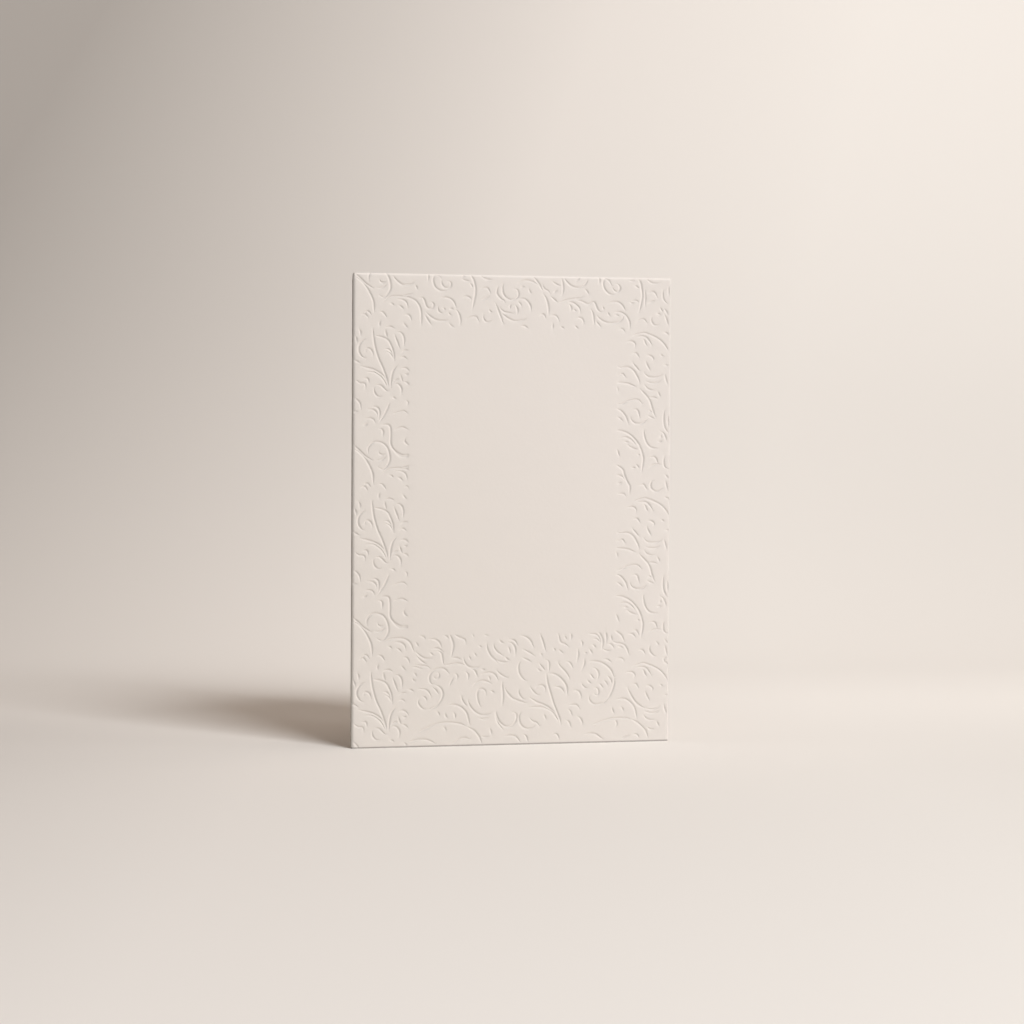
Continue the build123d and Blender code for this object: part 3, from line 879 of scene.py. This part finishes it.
def cotton_paper():
    """Uncoated cotton card: matt warm ivory with a felt tooth, with painted shade deeper to the fold,
    a painted contact shadow at the foot and a painted highlight along the cut top edge."""
    material, tree, shader = finish("uncoated_cotton_paper")
    place = add(tree, "ShaderNodeTexCoord").outputs["Object"]
    # Painted shade: darker towards the fold and lower down, lighter towards the free edge and higher up
    across = add(tree, "ShaderNodeVectorMath", [(place, 0)], operation="DOT_PRODUCT")
    across.inputs[1].default_value = (1, 0, PAPER_SHADE_TILT)
    clouds = add(tree, "ShaderNodeTexNoise", [(place, "Vector")], Scale=CLOUDS, Detail=3, Roughness=0.55)
    drift = add(tree, "ShaderNodeMath", [(clouds.outputs["Fac"], 0)], operation="MULTIPLY")
    drift.inputs[1].default_value = CLOUD_SHIFT
    moved = add(tree, "ShaderNodeMath", [(across.outputs["Value"], 0), (drift.outputs["Value"], 1)],
                operation="ADD")
    middle = PAPER_SHADE_TILT * HIGH.z / 2
    depth = add(tree, "ShaderNodeMapRange", [(moved.outputs["Value"], "Value")],
                **{"From Min": LOW.x + middle, "From Max": HIGH.x + middle})
    painted_shade_ramp = add(tree, "ShaderNodeValToRGB", [(depth.outputs["Result"], "Fac")])
    painted_shade_ramp.color_ramp.elements[0].color = colour(PAPER_SHADED_BY_FOLD)
    painted_shade_ramp.color_ramp.elements[1].color = colour(PAPER_LIT_BY_EDGE)
    height = add(tree, "ShaderNodeSeparateXYZ", [(place, "Vector")]).outputs["Z"]
    # Painted contact shadow along the foot
    foot = add(tree, "ShaderNodeMapRange", [(height, "Value")],
               **{"From Min": FOOT_SHADOW_FULL, "From Max": FOOT_SHADOW_END, "To Min": FOOT_SHADOW_TONE})
    # Painted highlight along the cut top edge
    head = add(tree, "ShaderNodeMapRange", [(height, "Value")],
               **{"From Min": HEAD_HIGHLIGHT_START, "From Max": HEAD_HIGHLIGHT_FULL, "To Min": 1, "To Max": HEAD_HIGHLIGHT_TONE})
    share = add(tree, "ShaderNodeMath", [(foot.outputs["Result"], 0), (head.outputs["Result"], 1)],
                operation="MULTIPLY")
    paper = add(tree, "ShaderNodeVectorMath",
                [(painted_shade_ramp.outputs["Color"], 0), (share.outputs["Value"], "Scale")], operation="SCALE")
    tree.links.new(paper.outputs["Vector"], shader.inputs["Base Color"])
    tooth = add(tree, "ShaderNodeTexNoise", [(place, "Vector")], Scale=TOOTH, Detail=3, Roughness=0.6)
    felt = add(tree, "ShaderNodeTexNoise", [(place, "Vector")], Scale=FELT, Detail=2, Roughness=0.5)
    fine = add(tree, "ShaderNodeBump", [(tooth.outputs["Fac"], "Height")],
               Strength=0.2, Distance=TOOTH_HIGH)
    bump = add(tree, "ShaderNodeBump",
               [(felt.outputs["Fac"], "Height"), (fine.outputs["Normal"], "Normal")],
               Strength=0.3, Distance=FELT_HIGH)
    tree.links.new(bump.outputs["Normal"], shader.inputs["Normal"])
    shader.inputs["Roughness"].default_value = 0.92
    shader.inputs["Specular IOR Level"].default_value = 0.2
    return material


def studio_paper():
    """Matt pale background paper, palest behind the card, with painted shade that deepens it to the
    left, the front and above.
    """
    material, tree, shader = finish("studio_background_paper")
    place = add(tree, "ShaderNodeTexCoord").outputs["Object"]
    # Painted shade: darker to the left and higher up, lighter to the right
    along = add(tree, "ShaderNodeVectorMath", [(place, 0)], operation="DOT_PRODUCT")
    along.inputs[1].default_value = (math.cos(CARD_TURN), -math.sin(CARD_TURN), -GRADE_TILT)
    grade = add(tree, "ShaderNodeMapRange", [(along.outputs["Value"], "Value")],
                **{"From Min": GRADE_START, "From Max": GRADE_END})
    painted_shade_ramp = add(tree, "ShaderNodeValToRGB", [(grade.outputs["Result"], "Fac")])
    painted_shade_ramp.color_ramp.elements[0].color = colour(BACKDROP_SHADED)
    painted_shade_ramp.color_ramp.elements[1].color = colour(BACKDROP_LIT)
    painted_shade_ramp.color_ramp.elements.new(GRADE_KNEE).color = colour(BACKDROP_HALF_SHADED)
    # Painted shade: darker in front of the card and higher up the backdrop
    away = add(tree, "ShaderNodeVectorMath", [(place, 0)], operation="DOT_PRODUCT")
    away.inputs[1].default_value = (math.sin(CARD_TURN), math.cos(CARD_TURN), 0)
    front = add(tree, "ShaderNodeMapRange", [(away.outputs["Value"], "Value")],
                interpolation_type="SMOOTHSTEP",
                **{"From Min": FRONT_START, "From Max": FRONT_END, "To Min": FRONT_SHADE_TONE})
    wall = add(tree, "ShaderNodeMapRange", [(away.outputs["Value"], "Value")],
               interpolation_type="SMOOTHSTEP",
               **{"From Min": WALL_START, "From Max": WALL_END, "To Min": 1, "To Max": WALL_SHADE_TONE})
    share = add(tree, "ShaderNodeMath", [(front.outputs["Result"], 0), (wall.outputs["Result"], 1)],
                operation="MULTIPLY")
    paper = add(tree, "ShaderNodeVectorMath",
                [(painted_shade_ramp.outputs["Color"], 0), (share.outputs["Value"], "Scale")], operation="SCALE")
    grain = add(tree, "ShaderNodeTexNoise", [(place, "Vector")], Scale=GRAIN, Detail=2, Roughness=0.5)
    bump = add(tree, "ShaderNodeBump", [(grain.outputs["Fac"], "Height")],
               Strength=0.1, Distance=GRAIN_HIGH)
    tree.links.new(paper.outputs["Vector"], shader.inputs["Base Color"])
    tree.links.new(bump.outputs["Normal"], shader.inputs["Normal"])
    shader.inputs["Roughness"].default_value = 0.95
    shader.inputs["Specular IOR Level"].default_value = 0.1
    return material


card.data.materials.append(cotton_paper())
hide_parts("card")
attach(card, "root")


# Floor and backdrop: one sweep of paper that curves up behind the card
SWEEP_HALF = 1.0
SWEEP_ASIDE = 0.2
SWEEP_FRONT = -1.0
SWEEP_BEND = 0.3
SWEEP_RADIUS = 1.6
SWEEP_RISE = math.radians(50)
SWEEP_STEPS = 40
bpy.ops.object.select_all(action="DESELECT")
bpy.ops.mesh.primitive_plane_add(size=1, location=(SWEEP_ASIDE, (SWEEP_FRONT + SWEEP_BEND) / 2, 0))
sweep = bpy.context.object
sweep.name = "studio_sweep"
sweep.scale = (2 * SWEEP_HALF, SWEEP_BEND - SWEEP_FRONT, 1)
bpy.ops.object.transform_apply(location=True, rotation=True, scale=True)
bpy.ops.object.mode_set(mode="EDIT")
bpy.ops.mesh.select_all(action="DESELECT")
bpy.ops.object.mode_set(mode="OBJECT")
for edge in sweep.data.edges:
    edge.select = all(sweep.data.vertices[i].co.y > SWEEP_BEND - MM for i in edge.vertices)
bpy.ops.object.mode_set(mode="EDIT")
bpy.context.tool_settings.mesh_select_mode = (False, True, False)
bpy.ops.mesh.spin(steps=SWEEP_STEPS, angle=SWEEP_RISE, center=(0, SWEEP_BEND, SWEEP_RADIUS),
                  axis=(-1, 0, 0))
bpy.ops.object.mode_set(mode="OBJECT")
bpy.ops.object.shade_smooth()
sweep.data.materials.append(studio_paper())

# Camera: a long lens, a little to the left of square on, level with the card's upper half
CAMERA_ASIDE = -0.0004
CAMERA_AWAY = 1.4024
CAMERA_HIGH = 0.1258
CAMERA_PITCH = math.radians(1.526)
CAMERA_ROLL = math.radians(0.313)
LENS_PIXELS = 3700
FRAME_PIXELS = 1024
SENSOR_WIDE = 36
VIEW_FAR = 50


def from_camera(right, away, up):
    """A place measured from the middle of the card's face, to the camera's right, away and up."""
    x = right * math.cos(CARD_TURN) + away * math.sin(CARD_TURN)
    y = away * math.cos(CARD_TURN) - right * math.sin(CARD_TURN)
    return Vector((x, LOW.y + y, up))


camera_data = bpy.data.cameras.new("camera")
camera_data.sensor_width = SENSOR_WIDE
camera_data.lens = SENSOR_WIDE * LENS_PIXELS / FRAME_PIXELS
camera_data.clip_end = VIEW_FAR
camera = bpy.data.objects.new("camera", camera_data)
bpy.context.scene.collection.objects.link(camera)
eye = from_camera(CAMERA_ASIDE, -CAMERA_AWAY, CAMERA_HIGH)
look = (from_camera(0, 0, 0) - from_camera(0, -1, 0)) * math.cos(CAMERA_PITCH)
look -= Vector((0, 0, math.sin(CAMERA_PITCH)))
right = look.cross(Vector((0, 0, 1))).normalized()
up = right.cross(look).normalized()
tilted = right * math.cos(CAMERA_ROLL) + up * math.sin(CAMERA_ROLL)
above = up * math.cos(CAMERA_ROLL) - right * math.sin(CAMERA_ROLL)
camera.matrix_world = Matrix.Translation(eye) @ Matrix((tilted, above, -look)).transposed().to_4x4()
bpy.context.scene.camera = camera


def soft_light(name, bearing, height, distance, wide, high, power, code):
    """A rectangular soft box aimed at the middle of the card.

    Its bearing is turned from the camera's side of the card towards the right."""
    bearing, height = math.radians(bearing), math.radians(height)
    middle = LEAF_HIGH * MM / 2
    level = distance * math.cos(height)
    place = from_camera(level * math.sin(bearing), -level * math.cos(bearing),
                        middle + distance * math.sin(height))
    data = bpy.data.lights.new(name, "AREA")
    data.shape = "RECTANGLE"
    data.size = wide
    data.size_y = high
    data.energy = power
    data.color = colour(code)[:3]
    light = bpy.data.objects.new(name, data)
    light.matrix_world = Matrix.Translation(place) @ (
        (place - from_camera(0, 0, middle)).to_track_quat("Z", "Y").to_matrix().to_4x4())
    bpy.context.scene.collection.objects.link(light)


# Lights: a soft box from the upper right, a low one that rakes across the relief from
# the right, and a dim one over the backdrop that fills the shadow
WARM_WHITE = "#FFEDDD"
soft_light("key", bearing=28.6, height=35.5, distance=5, wide=1.95, high=2.1, power=258, code="#F9FCFF")
soft_light("side", bearing=84, height=2, distance=5, wide=2, high=0.35, power=171, code="#FFFAF6")
soft_light("top", bearing=170, height=82, distance=3, wide=2.2, high=2.2, power=28, code=WARM_WHITE)

world = bpy.data.worlds.new("studio")
bpy.context.scene.world = world
world.use_nodes = True
surround = world.node_tree.nodes["Background"]
surround.inputs["Color"].default_value = colour(WARM_WHITE)
surround.inputs["Strength"].default_value = 0.083

bpy.context.scene.view_settings.view_transform = "Standard"
